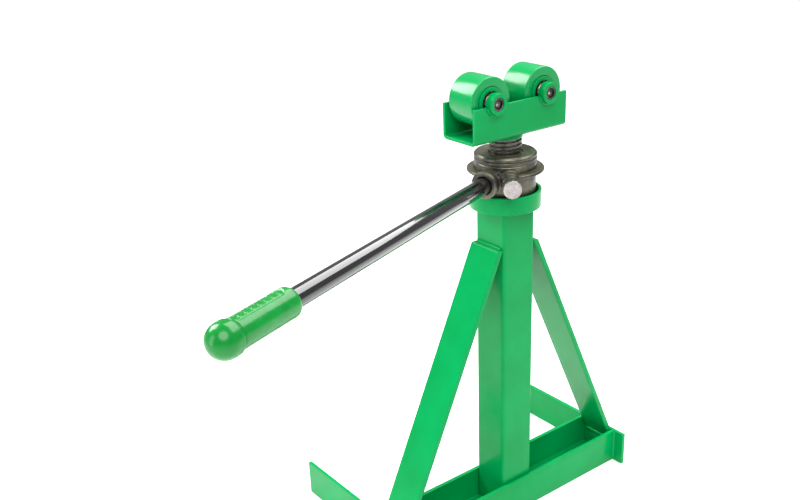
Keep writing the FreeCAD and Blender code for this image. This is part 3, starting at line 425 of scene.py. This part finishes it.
def post():
    half = POST_HIGH.x
    wall = 6.35 * MM
    outside = soften([(-half, -half), (half, -half), (half, half), (-half, half)],
                     POST_CORNER, 8)
    bore = half - wall
    inside = soften([(-bore, -bore), (bore, -bore), (bore, bore), (-bore, bore)], 1.2 * MM, 8)
    place = Matrix.Translation((0, 0, POST_LOW.z))
    mesh = prism("square_post", outside, place, POST_HIGH.z - POST_LOW.z, inside)
    add_piece("square_post", mesh, GREEN, "base", ["post"], bevel=0.6 * MM)


def along_x(low):
    """A frame whose Z is the row's +X and whose X and Y are the row's +Y and +Z."""
    return Matrix(((0, 0, 1, low), (1, 0, 0, 0), (0, 1, 0, 0), (0, 0, 0, 1)))


def along_y(low):
    """A frame whose Z is the row's +Y and whose X and Y are the row's +X and +Z, mirrored."""
    return Matrix(((-1, 0, 0, 0), (0, 0, 1, low), (0, 1, 0, 0), (0, 0, 0, 1)))


def base_channel():
    low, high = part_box("base_channel")
    wall, half, top = 7.1 * MM, high.y, high.z
    outline = soften([(-half, 0), (half, 0), (half, top), (half - wall, top), (half - wall, wall),
                      (wall - half, wall), (wall - half, top), (-half, top)], 1.6 * MM, 4)
    mesh = prism("base_channel_bar", outline, along_x(low.x), high.x - low.x)
    add_piece("base_channel_bar", mesh, GREEN, "base", ["base_channel"])


def crossbar(side):
    node = ("left" if side < 0 else "right") + "_crossbar"
    low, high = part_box(node)
    outline = [(-high.x, low.z), (-low.x, low.z), (-low.x, high.z), (-high.x, high.z)]
    mesh = prism(node + "_bar", soften(outline, 1.0 * MM), along_y(low.y), high.y - low.y)
    add_piece(node + "_bar", mesh, GREEN, "base", [node], bevel=0.7 * MM)


def brace(side):
    node = ("left" if side < 0 else "right") + "_brace"
    low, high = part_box(node)
    reach, face, step = max(abs(low.x), abs(high.x)), POST_HIGH.x, 9.8 * MM
    base_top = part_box("base_channel")[1].z
    rise, run = high.z - base_top, reach - face - step
    outline = [(-side * x, z) for x, z in (
        (face, high.z), (face + step, high.z), (reach, base_top),
        (reach, base_top - step * rise / run))]
    mesh = prism(node + "_bar", outline, along_y(low.y), high.y - low.y)
    add_piece(node + "_bar", mesh, GREEN, "base", [node], bevel=1.3 * MM)


def welds():
    end, flange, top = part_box("base_channel")[1]
    half, flat = POST_HIGH.x, POST_HIGH.x - POST_CORNER
    web = POST_LOW.z
    brace_low, brace_top = (corner.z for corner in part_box("left_brace"))
    base_paths, post_paths = [], []
    for side in (-1, 1):
        for north in (-1, 1):
            base_paths.append([Vector((side * end, north * flange, 3 * MM)),
                               Vector((side * end, north * flange, top - 2 * MM))])
        base_paths.append([Vector((side * half, -flat, web)), Vector((side * half, flat, web))])
        base_paths.append([Vector((side * end, -flat, brace_low)),
                           Vector((side * end, flat, brace_low))])
        post_paths.append([Vector((side * (half + 1.2 * MM), -flat, brace_top + 0.4 * MM)),
                           Vector((side * (half + 1.2 * MM), flat, brace_top + 0.4 * MM))])
        for turn in ((1, 0), (0, 1)):
            start = Vector((side * half * turn[0] - flat * turn[1],
                            side * half * turn[1] - flat * turn[0], POST_HIGH.z))
            finish = Vector((side * half * turn[0] + flat * turn[1],
                             side * half * turn[1] + flat * turn[0], POST_HIGH.z))
            post_paths.append([start, finish])
    bead_piece("base_weld_beads", base_paths, 3.2 * MM, GREEN, "base",
               ["base_welds"])
    bead_piece("post_weld_beads", post_paths, 3.4 * MM, GREEN, "base",
               ["post_welds"])


def collar():
    low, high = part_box("collar_ring")
    outer, wall = high.x, 4.8 * MM
    origin = Vector((0, 0, low.z))
    outline = ring_outline(outer - wall, outer, 0, high.z - low.z)
    add_piece("collar_cup", lathe("collar_cup", soften(outline, 1.1 * MM), origin, UP, 128),
              GREEN, "base", ["collar_ring"])
    plate_low, plate_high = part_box("collar_plate")
    outline = ring_outline(26 * MM, outer - wall, 0, plate_high.z - plate_low.z)
    add_piece("collar_floor", lathe("collar_floor", soften(outline, 0.5 * MM), origin, UP),
              GREEN, "base", ["collar_plate"])


# ------------------------------------------------------------------ nut, housing and handle

def nut():
    """The nut's turned head and body, and its cover."""
    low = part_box("lift_nut")[0].z - RIM
    outline = in_mm((
        (24.8, low / MM), (31, low / MM), (31, -5.5), (29.5, -5.5), (29.5, -3), (31, -3),
        (31, 34.2), (47, 34.2), (47, 43.4), (46.3, 44), (46.3, 45), (47, 45.6), (47, 50),
        (33, 50), (33, 54), (24.8, 54)))
    add_piece("nut_head", lathe("nut_head", soften(outline, 0.7 * MM), AXIS, UP, 128), TURNED,
              "nut", ["lift_nut"])
    outline = in_mm((
        (33, 50), (45.6, 50), (46.2, 51), (47, 51.4), (47, 54.8), (44.3, 57.5), (36, 57),
        (30, 56.6), (26.4, 57.2), (25.6, 56.4), (25.6, 54.05), (33, 54.05)))
    add_piece("nut_cover", lathe("nut_cover", soften(outline, 1.0 * MM), AXIS, UP, 128), TURNED,
              "nut", ["nut_cap"])


def level_direction(degrees):
    angle = math.radians(degrees)
    return Vector((math.cos(angle), math.sin(angle), 0))


PAWL = Vector(joints["pawl_pull"]["axis"])
PAWL_Z = joints["pawl_turn"]["pos_m"][2]
grip_low, grip_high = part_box("handle_grip")
HANDLE_Z = (grip_low.z + grip_high.z) / 2
HANDLE = level_direction(200.6)
# distances along the handle from the post's axis, and radii, in millimetres
TUBE_BORE, TUBE_RADIUS = 10.0, 12.6
TUBE_START, TUBE_END = 48.6, 630.0
GRIP_START, GRIP_NECK, GRIP_END = 515.5, 612.0, 644.0
GRIP_BODY, BALL_RADIUS = 18.9, 21.0


def housing():
    """The ratchet casting: its parts are joined, remeshed and relaxed to a cast skin."""
    bm = bmesh.new()
    skirt = in_mm((
        (36.2, -2), (45.6, -2), (45.6, 26), (47.5, 28.2), (57.6, 28.6), (58.1, 31), (57.4, 33.7),
        (48, 33.9), (41.3, 33.9), (41.3, 6), (36.2, 6)))
    lathe_into(bm, soften(skirt, 0.8 * MM, 3), AXIS, UP, 96)
    handle_axis, pawl_axis = Vector((0, 0, HANDLE_Z)), Vector((0, 0, PAWL_Z))
    socket = in_mm((
        (12.7, 48.4), (0, 48.4), (0, 43.5), (18.6, 43.5), (18.6, 60), (20.5, 63.5), (20.5, 68.6),
        (19.2, 70), (14, 70), (12.7, 68.8)))
    lathe_into(bm, socket, handle_axis, HANDLE, 72)
    barrel = in_mm((
        (9.6, 46.3), (6.05, 46.3), (6.05, 42.5), (13.5, 42.5), (13.5, 70), (9.6, 70)))
    lathe_into(bm, barrel, pawl_axis, PAWL, 72)
    lug = in_mm(((10, 49), (13.5, 49), (13.2, 57), (10, 58)))
    lathe_into(bm, lug, pawl_axis + Vector((0, 0, 5 * MM)), PAWL, 72)
    middle = (HANDLE + PAWL).normalized()
    side = UP.cross(middle)
    web = in_mm((
        (-8, 8), (8, 8), (7, 24), (3.5, 37), (0.5, 41.5), (-3, 38), (-8, 26)))
    place = Matrix((
        (side.x, 0, middle.x, 0), (side.y, 0, middle.y, 0), (0, 1, 0, RIM), (0, 0, 0, 1)))
    prism_into(bm, web, place @ Matrix.Translation((0, 0, 43 * MM)), 13.5 * MM)
    bmesh.ops.recalc_face_normals(bm, faces=bm.faces)
    mesh = bpy.data.meshes.new("ratchet_casting")
    bm.to_mesh(mesh)
    bm.free()
    piece = add_piece("ratchet_casting", mesh, CAST, "housing",
                      ["ratchet_housing"])
    skin = piece.modifiers.new("skin", "REMESH")
    skin.mode = "VOXEL"
    skin.voxel_size = 0.9 * MM
    skin.use_smooth_shade = True
    relax = piece.modifiers.new("relax", "SMOOTH")
    relax.factor = 0.5
    relax.iterations = 5


def pawl():
    """The barrel's cap, and the knob with its turned face."""
    origin = Vector((0, 0, PAWL_Z))
    cap = in_mm((
        (5.05, 66), (9, 66), (9, 70), (13.5, 70), (13.5, 74), (5.05, 74)))
    add_piece("barrel_cap", lathe("barrel_cap", soften(cap, 0.8 * MM), origin, PAWL, 72), TURNED,
              "housing", ["pawl_barrel_cap"])
    face = 90.0
    knob = [(5, 75.2), (9, 75.2), (9, 78), (13.2, 78), (13.2, face)]
    marks = 11
    for k in range(marks):
        radius = 12.4 * (1 - k / marks)
        knob += [(radius, face), (radius - 0.35, face - 0.07)]
    knob += [(0, face), (0, 84), (5, 84)]
    outline = soften(in_mm(knob), 0.7 * MM, 3)
    add_piece("pull_knob", lathe("pull_knob", outline, origin, PAWL, 96, 30), BRIGHT, "pawl",
              ["pawl_knob"])


def handle():
    origin = Vector((0, 0, HANDLE_Z))
    tube = in_mm(ring_outline(TUBE_BORE, TUBE_RADIUS, TUBE_START, TUBE_END))
    add_piece("handle_tube", lathe("handle_tube", soften(tube, 0.8 * MM), origin, HANDLE, 64),
              BLACK, "housing", ["handle_bar"])


def smooth_step(low, high, value):
    t = min(max((value - low) / (high - low), 0.0), 1.0)
    return t * t * (3 - 2 * t)


def grip_radius(along, angle):
    """The grip's radius in millimetres, along its axis from the post and round from the top."""
    lead = 8.0
    mouth = GRIP_START + lead
    dome = GRIP_END - BALL_RADIUS
    if along < mouth:
        depth = (mouth - along) / lead
        radius = TUBE_RADIUS + (GRIP_BODY - TUBE_RADIUS) * math.sqrt(max(1 - depth * depth, 0))
    elif along < GRIP_NECK:
        radius = GRIP_BODY
    elif along < dome:
        radius = GRIP_BODY + (BALL_RADIUS - GRIP_BODY) * smooth_step(GRIP_NECK, GRIP_NECK + 4, along)
    else:
        depth = (along - dome) / BALL_RADIUS
        radius = BALL_RADIUS * math.sqrt(max(1 - depth * depth, 0))
    radius -= 0.8 * math.exp(-((along - GRIP_NECK) / 1.1) ** 2)
    # a sunk panel along the top, with slanting ribs in it
    first, last, spread = 527.0, 607.0, math.radians(38)
    across = abs(angle - math.radians(12)) / spread
    corner = 12.0
    nearest = min(max(along, first + corner), last)
    beyond = math.hypot((along - nearest) / corner, across)
    inside = 1 - smooth_step(0.88, 1.0, beyond)
    if along > last:
        inside *= 1 - smooth_step(last - 2, last, along)
    lip = math.exp(-((beyond - 1.02) / 0.05) ** 2) if along < last else 0.0
    slanted = (along + 11 * angle) / 10.5
    rib = 0.5 + 0.5 * math.cos(2 * math.pi * slanted)
    fade = smooth_step(0.0, 0.35, 0.9 - beyond)
    return radius - inside * (1.4 - 0.8 * fade * smooth_step(0.4, 0.8, rib)) + 0.25 * lip


def grip():
    origin = Vector((0, 0, HANDLE_Z))
    side = HANDLE.cross(UP)
    dome = GRIP_END - BALL_RADIUS
    pace = 0.8
    stations = [GRIP_START + pace * k for k in range(math.ceil((dome - GRIP_START) / pace))]
    steps = 26
    stations += [dome + BALL_RADIUS * math.sin(math.pi / 2 * k / steps) for k in range(steps)]
    bm = bmesh.new()
    count = 144
    spokes = [UP * math.cos(2 * math.pi * k / count) + side * math.sin(2 * math.pi * k / count)
              for k in range(count)]
    rows = []
    for along in stations:
        row = []
        for k in range(count):
            angle = 2 * math.pi * k / count
            around = angle if angle <= math.pi else angle - 2 * math.pi
            row.append(bm.verts.new(origin + HANDLE * along * MM
                                    + spokes[k] * grip_radius(along, around) * MM))
        rows.append(row)
    tip = bm.verts.new(origin + HANDLE * GRIP_END * MM)
    rim = rows[-1]
    for k in range(count):
        bm.faces.new([rim[k], rim[(k + 1) % count], tip])
    for along in (GRIP_START, TUBE_END):
        rows.insert(0, [bm.verts.new(origin + (HANDLE * along + spoke * TUBE_RADIUS) * MM)
                        for spoke in spokes])
    grid_faces(bm, rows, closed_rows=False)
    bm.faces.new(rows[0])
    add_piece("ribbed_grip", finish_mesh(bm, "ribbed_grip", 60), GRIP, "housing",
              ["handle_grip"])


# ------------------------------------------------------------------ lifting screw

def lift_screw():
    """A real helical trapezoid thread, one turn of corners after another."""
    low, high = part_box("lift_screw")
    pitch, depth, flank_angle = 6.35 * MM, 3.3 * MM, math.radians(14.5)
    crest, root = high.x, high.x - depth
    flank = (crest - root) * math.tan(flank_angle)
    land = pitch / 2 - flank
    profile = ((root, 0.0), (root, land), (crest, land + flank), (crest, 2 * land + flank))
    turns = int((high.z - low.z) / pitch) - 1
    steps = 64
    bm = bmesh.new()
    rows = []
    for i in range(4 * turns + 4):
        radius, offset = profile[i % 4]
        row = []
        for s in range(steps):
            angle = 2 * math.pi * s / steps
            height = low.z + pitch * (i // 4 + s / steps) + offset
            row.append(bm.verts.new((radius * math.cos(angle), radius * math.sin(angle), height)))
        rows.append(row)
    for i in range(len(rows) - 1):
        for s in range(steps - 1):
            bm.faces.new([rows[i][s], rows[i][s + 1], rows[i + 1][s + 1], rows[i + 1][s]])
    for i in range(len(rows) - 5):
        bm.faces.new([rows[i][-1], rows[i + 4][0], rows[i + 5][0], rows[i + 1][-1]])
    boundary = [edge for edge in bm.edges if edge.is_boundary]
    bmesh.ops.holes_fill(bm, edges=boundary, sides=0)
    core = [(0, low.z), (root - 0.2 * MM, low.z), (root - 0.2 * MM, high.z), (0, high.z)]
    lathe_into(bm, core, Vector((0, 0, 0)), UP, 64)
    add_piece("threaded_screw", finish_mesh(bm, "threaded_screw", 30), THREAD, "lift_head",
              ["lift_screw"])


# ------------------------------------------------------------------ yoke and rollers

YOKE_LOW, YOKE_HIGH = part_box("yoke")
YOKE_WALL = 4.8 * MM
BOSS_LOW, BOSS_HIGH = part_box("left_front_boss")
BOSS_RADIUS = (BOSS_HIGH.z - BOSS_LOW.z) / 2
AXLE_Z = joints["left_roller_spin"]["pos_m"][2]
AXLE_X = abs(joints["left_roller_spin"]["pos_m"][0])


def yoke_section(top):
    """The trough's closed outline of (y, z), its walls reaching up to top."""
    half, floor = YOKE_HIGH.y, YOKE_LOW.z
    bend, inner_bend, steps = 7 * MM, 2.2 * MM, 8
    outline = [Vector((half, top))]
    for centre, start in ((half - bend, 0.0), (bend - half, -90.0)):
        for k in range(steps + 1):
            angle = math.radians(start - 90 * k / steps)
            outline.append(Vector((centre + bend * math.cos(angle),
                                   floor + bend + bend * math.sin(angle))))
    outline.append(Vector((-half, top)))
    inside, level = half - YOKE_WALL, floor + YOKE_WALL
    outline.append(Vector((-inside, top)))
    for centre, start in ((inner_bend - inside, 180.0), (inside - inner_bend, 270.0)):
        for k in range(steps + 1):
            angle = math.radians(start + 90 * k / steps)
            outline.append(Vector((centre + inner_bend * math.cos(angle),
                                   level + inner_bend + inner_bend * math.sin(angle))))
    outline.append(Vector((inside, top)))
    return outline


def yoke():
    """A bent trough whose walls are notched round the bosses."""
    stations = {YOKE_LOW.x, YOKE_HIGH.x, 0.0}
    rise = YOKE_HIGH.z - AXLE_Z
    edge_angle = math.asin(rise / BOSS_RADIUS)
    notches = {}
    count = 28
    for centre in (-AXLE_X, AXLE_X):
        for k in range(count + 1):
            angle = math.pi - edge_angle + (math.pi + 2 * edge_angle) * k / count
            x = centre + BOSS_RADIUS * math.cos(angle)
            notches[round(x, 7)] = AXLE_Z + BOSS_RADIUS * math.sin(angle)
    stations |= set(notches)
    bm = bmesh.new()
    rows = []
    for x in sorted(stations):
        top = min(notches.get(x, YOKE_HIGH.z), YOKE_HIGH.z)
        rows.append([bm.verts.new((x, p.x, p.y)) for p in yoke_section(top)])
    grid_faces(bm, rows, closed_rows=False)
    bm.faces.new(rows[0])
    bm.faces.new(rows[-1])
    add_piece("bent_yoke", finish_mesh(bm, "bent_yoke"), GREEN, "lift_head",
              ["yoke"], bevel=0.7 * MM)

    low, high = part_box("yoke_hub")
    hub = soften([(0, 0), (high.x, 0), (high.x, high.z - low.z), (0, high.z - low.z)], 1.2 * MM)
    add_piece("hub_disc", lathe("hub_disc", hub, Vector((0, 0, low.z)), UP), GREEN, "lift_head",
              ["yoke_hub"])


def across(side):
    return Vector((0, side, 0))


def boss(prefix, end_name, x, facing):
    """An axle boss and the weld under it on the yoke's wall."""
    node = "%s_%s_boss" % (prefix, end_name)
    low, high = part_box(node)
    near, far = sorted((abs(low.y), abs(high.y)))
    outline = [(9.55 * MM, near), (BOSS_RADIUS, near), (BOSS_RADIUS, far), (9.55 * MM, far)]
    origin = Vector((x, 0, AXLE_Z))
    add_piece(node + "_tube", lathe(node + "_tube", soften(outline, 1.3 * MM, 5), origin,
                                    across(facing), 80), GREEN, "lift_head",
              [node])
    path = []
    steps, start, sweep = 32, 196, 148
    reach = BOSS_RADIUS + 0.9 * MM
    for k in range(steps + 1):
        angle = math.radians(start + sweep * k / steps)
        path.append(Vector((x + reach * math.cos(angle), facing * (YOKE_HIGH.y + 0.2 * MM),
                            AXLE_Z + reach * math.sin(angle))))
    return path


def roller(prefix, x):
    body = prefix + "_roller"
    origin = Vector((x, 0, AXLE_Z))
    low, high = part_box(prefix + "_roller_shell")
    radius, half = (high.z - low.z) / 2, high.y
    shell = [(19, -13), (22, -13), (22, -half / MM + 1.2), (24.2, -half / MM),
             (radius / MM, -half / MM), (radius / MM, half / MM), (24.2, half / MM),
             (22, half / MM - 1.2), (22, 13), (19, 13)]
    outline = soften(in_mm(shell), 2.0 * MM, 6)
    add_piece(body + "_drum", lathe(body + "_drum", outline, origin, across(1), 128), DRUM, body,
              [prefix + "_roller_shell"])
    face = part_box(prefix + "_roller_bearing_cups")[1].y / MM
    cup = [(18.2, 13), (22, 13), (22, face), (16.2, face), (16.2, face - 1.5), (18.2, face - 1.5)]
    bm = bmesh.new()
    for facing in (-1, 1):
        lathe_into(bm, soften(in_mm(cup), 0.8 * MM), origin,
                   across(facing), 96)
    add_piece(body + "_cups", finish_mesh(bm, body + "_cups"), GREEN, body,
              [prefix + "_roller_bearing_cups"])

    bm = bmesh.new()
    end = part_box(prefix + "_axle")[1].y / MM
    for facing in (-1, 1):
        pin = [(0, 0), (9.5, 0), (9.5, end - 0.8), (8.7, end), (3.2, end), (2.6, end - 1.4),
               (0, end - 1.4)]
        lathe_into(bm, in_mm(pin), origin, across(facing), 64)
    add_piece(prefix + "_axle_pin", finish_mesh(bm, prefix + "_axle_pin"), DARK, "lift_head",
              [prefix + "_axle"])
    bm = bmesh.new()
    for facing in (-1, 1):
        centre = [(0, end - 1.6), (2.5, end - 1.6), (2.5, end - 0.9), (1.6, end - 0.3),
                  (0, end - 0.1)]
        lathe_into(bm, in_mm(centre), origin, across(facing), 32)
    add_piece(prefix + "_axle_centres", finish_mesh(bm, prefix + "_axle_centres"), BRIGHT,
              "lift_head")
    paths = [boss(prefix, name, x, facing) for name, facing in (("front", -1), ("back", 1))]
    bead_piece(prefix + "_boss_welds", paths, 2.2 * MM, GREEN, "lift_head")


KEPT = {
    "thrust_washer_lower": BRIGHT, "thrust_balls": BRIGHT, "thrust_washer_upper": BRIGHT,
    "ratchet_wheel": THREAD, "wheel_key": BRIGHT, "wheel_spacer": TURNED,
    "retaining_ring": DARK, "handle_lock_screw": DARK, "spring_washer": BRIGHT,
    "pawl_spring": BRIGHT, "pawl_plunger": BRIGHT, "knob_pin": BRIGHT, "stop_block": THREAD,
    "stop_bolt": DARK,
}


def kept_nodes():
    """CAD nodes whose shape is right: they only get a material."""
    for prefix in ("left", "right"):
        KEPT.update({prefix + "_snap_rings": DARK, prefix + "_roller_spacers": PINK,
                     prefix + "_roller_inner_races": BRIGHT, prefix + "_roller_balls": BRIGHT})
    for name, material in KEPT.items():
        mesh = frame["nodes"][name].data
        mesh.materials.clear()
        mesh.materials.append(material)


# ------------------------------------------------------------------ stage

def area_light(name, place, target, size, power):
    data = bpy.data.lights.new(name, "AREA")
    data.shape = "RECTANGLE"
    data.size, data.size_y = size
    data.energy = power
    lamp = bpy.data.objects.new(name, data)
    lamp.location = place
    lamp.rotation_euler = (Vector(target) - Vector(place)).to_track_quat("-Z", "Y").to_euler()
    bpy.context.scene.collection.objects.link(lamp)
    return lamp


def stage():
    """A pale floor, an even pale sky and large soft lights."""
    bm = bmesh.new()
    bmesh.ops.create_grid(bm, x_segments=1, y_segments=1, size=12)
    mesh = bpy.data.meshes.new("floor")
    bm.to_mesh(mesh)
    bm.free()
    floor = bpy.data.objects.new("floor", mesh)
    bpy.context.scene.collection.objects.link(floor)
    material, tree, surface = shader("pale_floor")
    link(tree, mix_colours(tree, noise(tree, 3.0), (0.9, 0.9, 0.9), (0.93, 0.93, 0.93)),
         surface.inputs["Base Color"])
    surface.inputs["Roughness"].default_value = 0.6
    mesh.materials.append(material)
    world = bpy.data.worlds.new("studio")
    world.use_nodes = True
    background = world.node_tree.nodes["Background"]
    background.inputs["Color"].default_value = (1.0, 1.0, 1.0, 1.0)
    background.inputs["Strength"].default_value = 0.36
    bpy.context.scene.world = world
    bpy.context.scene.view_settings.view_transform = "Standard"
    sky = bpy.data.lights.new("overhead", "SUN")
    sky.energy = 3.25
    sky.angle = math.radians(50)
    overhead = bpy.data.objects.new("overhead", sky)
    overhead.rotation_euler = Vector((0.3, 0.52, -0.8)).to_track_quat("-Z", "Y").to_euler()
    bpy.context.scene.collection.objects.link(overhead)
    middle = (0, 0, 0.65)
    area_light("side_box", (-0.95, 1.55, 1.95), middle, (1.1, 1.2), 62)
    area_light("left_box", (-2.3, 0.2, 1.0), middle, (0.7, 1.5), 12)
    canopy = area_light("top_box", (1.23, 0.14, 2.2), middle, (2.0, 2.2), 80)
    canopy.rotation_euler = (0, 0, math.radians(20.6))


def camera():
    """The photograph's viewpoint: place, heading, pitch and roll, and a slight shift."""
    data = bpy.data.cameras.new("camera")
    data.sensor_width = 36.0
    data.lens = 45.09
    data.shift_x, data.shift_y = -0.0528, 0.0538
    data.clip_end = 50.0
    viewer = bpy.data.objects.new("camera", data)
    yaw, pitch, roll = math.radians(51.17), math.radians(24.10), math.radians(-1.35)
    ahead = Vector((math.cos(yaw) * math.cos(pitch), math.sin(yaw) * math.cos(pitch),
                    -math.sin(pitch)))
    right = Vector((math.sin(yaw), -math.cos(yaw), 0))
    above = right.cross(ahead)
    turned_right = right * math.cos(roll) + above * math.sin(roll)
    turned_up = above * math.cos(roll) - right * math.sin(roll)
    rotation = Matrix((turned_right, turned_up, -ahead)).transposed().to_4x4()
    viewer.matrix_world = Matrix.Translation((-0.9754, -1.0554, RIM + 0.4704)) @ rotation
    bpy.context.scene.collection.objects.link(viewer)
    bpy.context.scene.camera = viewer


post()
base_channel()
for side in (-1, 1):
    crossbar(side)
    brace(side)
welds()
collar()
nut()
housing()
pawl()
handle()
grip()
lift_screw()
yoke()
roller("left", -AXLE_X)
roller("right", AXLE_X)
kept_nodes()
stage()
camera()

bpy.context.view_layer.update()
